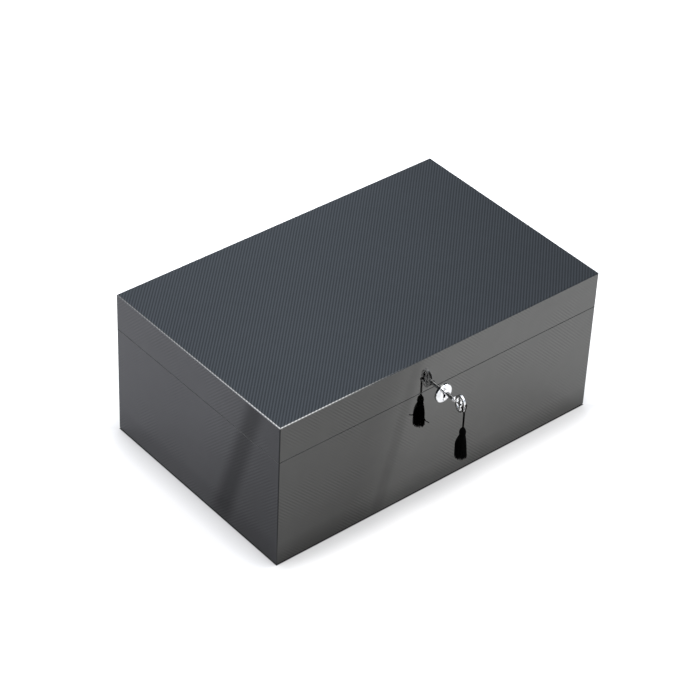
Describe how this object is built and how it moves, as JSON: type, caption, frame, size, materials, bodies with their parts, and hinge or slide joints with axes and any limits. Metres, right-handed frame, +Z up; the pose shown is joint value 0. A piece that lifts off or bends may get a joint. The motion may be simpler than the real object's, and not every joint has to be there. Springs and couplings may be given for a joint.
{
  "type": "watch winder box",
  "caption": "Locking watch winder box with a hinged lid, a carbon-fibre lacquer finish, a round escutcheon, a key with a tassel, slanted turntables and a storage tray.",
  "frame": {"origin": "centre of the face that the box rests on", "axes": "+X along the width, +Y from the lock to the hinges, +Z up"},
  "size_m": [0.35, 0.2601, 0.146],
  "materials": {
    "lacquered_carbon": "fine carbon-fibre twill under clear high-gloss lacquer",
    "felt": "short black felt",
    "suede": "charcoal microfibre suede",
    "leather": "soft black grained leatherette",
    "hinge_chrome": "polished",
    "lock_brass": "satin",
    "lock_steel": "zinc plated",
    "escutcheon_chrome": "polished",
    "key_metal": "polished with dark recesses",
    "pin_metal": "darkened",
    "tassel_thread": "black rayon thread",
    "cup_plastic": "fine matte",
    "ring_chrome": "polished",
    "gear_nylon": "moulded nylon",
    "pinion_brass": "machined",
    "board": "green solder mask",
    "control_metal": "brushed"
  },
  "bodies": {
    "root": {"base_pad": "felt", "base_shell": "lacquered_carbon", "base_lining": "suede", "hinge_leaves_base": "hinge_chrome", "hinge_pins": "hinge_chrome", "hinge_screws_base": "hinge_chrome", "lock_case": "lock_brass", "lock_cover": "lock_brass", "escutcheon": "escutcheon_chrome", "escutcheon_pins": "pin_metal", "winder_deck": "suede", "spindle_bush_left": "lock_brass", "spindle_bush_right": "lock_brass", "drive_plate": "lock_steel", "drive_posts": "cup_plastic", "motor_left": "lock_steel", "motor_right": "lock_steel", "circuit_board": "board", "control_plate": "control_metal", "dc_jack": "cup_plastic", "dc_jack_nut": "lock_steel", "storage_tray": "suede", "storage_pillow_1": "leather", "storage_pillow_2": "leather", "storage_pillow_3": "leather", "storage_pillow_4": "leather", "storage_pillow_5": "leather"},
    "lid": {"lid_shell": "lacquered_carbon", "lid_lining": "suede", "lid_pad": "leather", "hinge_leaves_lid": "hinge_chrome", "hinge_screws_lid": "hinge_chrome", "link_plate": "lock_brass"},
    "key": {"key": "key_metal"},
    "bolt": {"lock_bolt": "lock_steel"},
    "tassel": {"tassel_cord": "tassel_thread", "tassel_head": "tassel_thread", "tassel_skirt": "tassel_thread"},
    "cup_left": {"turntable_left": "cup_plastic", "cup_ring_left": "ring_chrome", "winder_pillow_left": "leather", "drive_gear_left": "gear_nylon", "spindle_left": "lock_steel"},
    "cup_right": {"turntable_right": "cup_plastic", "cup_ring_right": "ring_chrome", "winder_pillow_right": "leather", "drive_gear_right": "gear_nylon", "spindle_right": "lock_steel"},
    "pinion_left": {"pinion_left": "pinion_brass"},
    "pinion_right": {"pinion_right": "pinion_brass"},
    "knob_left": {"mode_knob_left": "cup_plastic"},
    "knob_right": {"mode_knob_right": "cup_plastic"},
    "button": {"power_button": "ring_chrome"}
  },
  "joints": [
    {"name": "lid_hinge", "type": "hinge", "parent": "root", "child": "lid", "pos_m": [0, 0.1138, 0.11015], "axis": [-1, 0, 0], "range_deg": [0, 95]},
    {"name": "key_turn", "type": "hinge", "parent": "root", "child": "key", "pos_m": [0, -0.111, 0.1003], "axis": [0, -1, 0], "range_deg": [0, 90]},
    {"name": "bolt_slide", "type": "slide", "parent": "root", "child": "bolt", "axis": [1, 0, 0], "range_m": [0, 0.004]},
    {"name": "tassel_swing", "type": "hinge", "parent": "key", "child": "tassel", "pos_m": [0, -0.1379, 0.1003], "axis": [0, -1, 0], "range_deg": [-90, 0]},
    {"name": "turntable_left_spin", "type": "hinge", "parent": "root", "child": "cup_left", "pos_m": [-0.082, 0.03562, 0.07658], "axis": [0, -0.7071, 0.7071], "continuous": true},
    {"name": "pinion_left_spin", "type": "hinge", "parent": "root", "child": "pinion_left", "pos_m": [-0.045, 0.03562, 0.07658], "axis": [0, -0.7071, 0.7071], "continuous": true},
    {"name": "knob_left_turn", "type": "hinge", "parent": "root", "child": "knob_left", "pos_m": [-0.01, 0.04128, 0.08224], "axis": [0, 0.7071, -0.7071], "range_deg": [0, 270]},
    {"name": "turntable_right_spin", "type": "hinge", "parent": "root", "child": "cup_right", "pos_m": [0.082, 0.03562, 0.07658], "axis": [0, -0.7071, 0.7071], "continuous": true},
    {"name": "pinion_right_spin", "type": "hinge", "parent": "root", "child": "pinion_right", "pos_m": [0.045, 0.03562, 0.07658], "axis": [0, -0.7071, 0.7071], "continuous": true},
    {"name": "knob_right_turn", "type": "hinge", "parent": "root", "child": "knob_right", "pos_m": [0.01, 0.04128, 0.08224], "axis": [0, 0.7071, -0.7071], "range_deg": [0, 270]},
    {"name": "button_press", "type": "slide", "parent": "root", "child": "button", "axis": [0, 0.7071, -0.7071], "range_m": [0, 0.0012], "stiffness_N_per_m": 400}
  ],
  "couplings": [
    {"joint": "key_turn", "follows": "bolt_slide", "rad_per_m": 392.69},
    {"joint": "tassel_swing", "follows": "bolt_slide", "rad_per_m": -392.69},
    {"joint": "pinion_left_spin", "follows": "turntable_left_spin", "ratio": -4.2857},
    {"joint": "pinion_right_spin", "follows": "turntable_right_spin", "ratio": -4.2857}
  ]
}
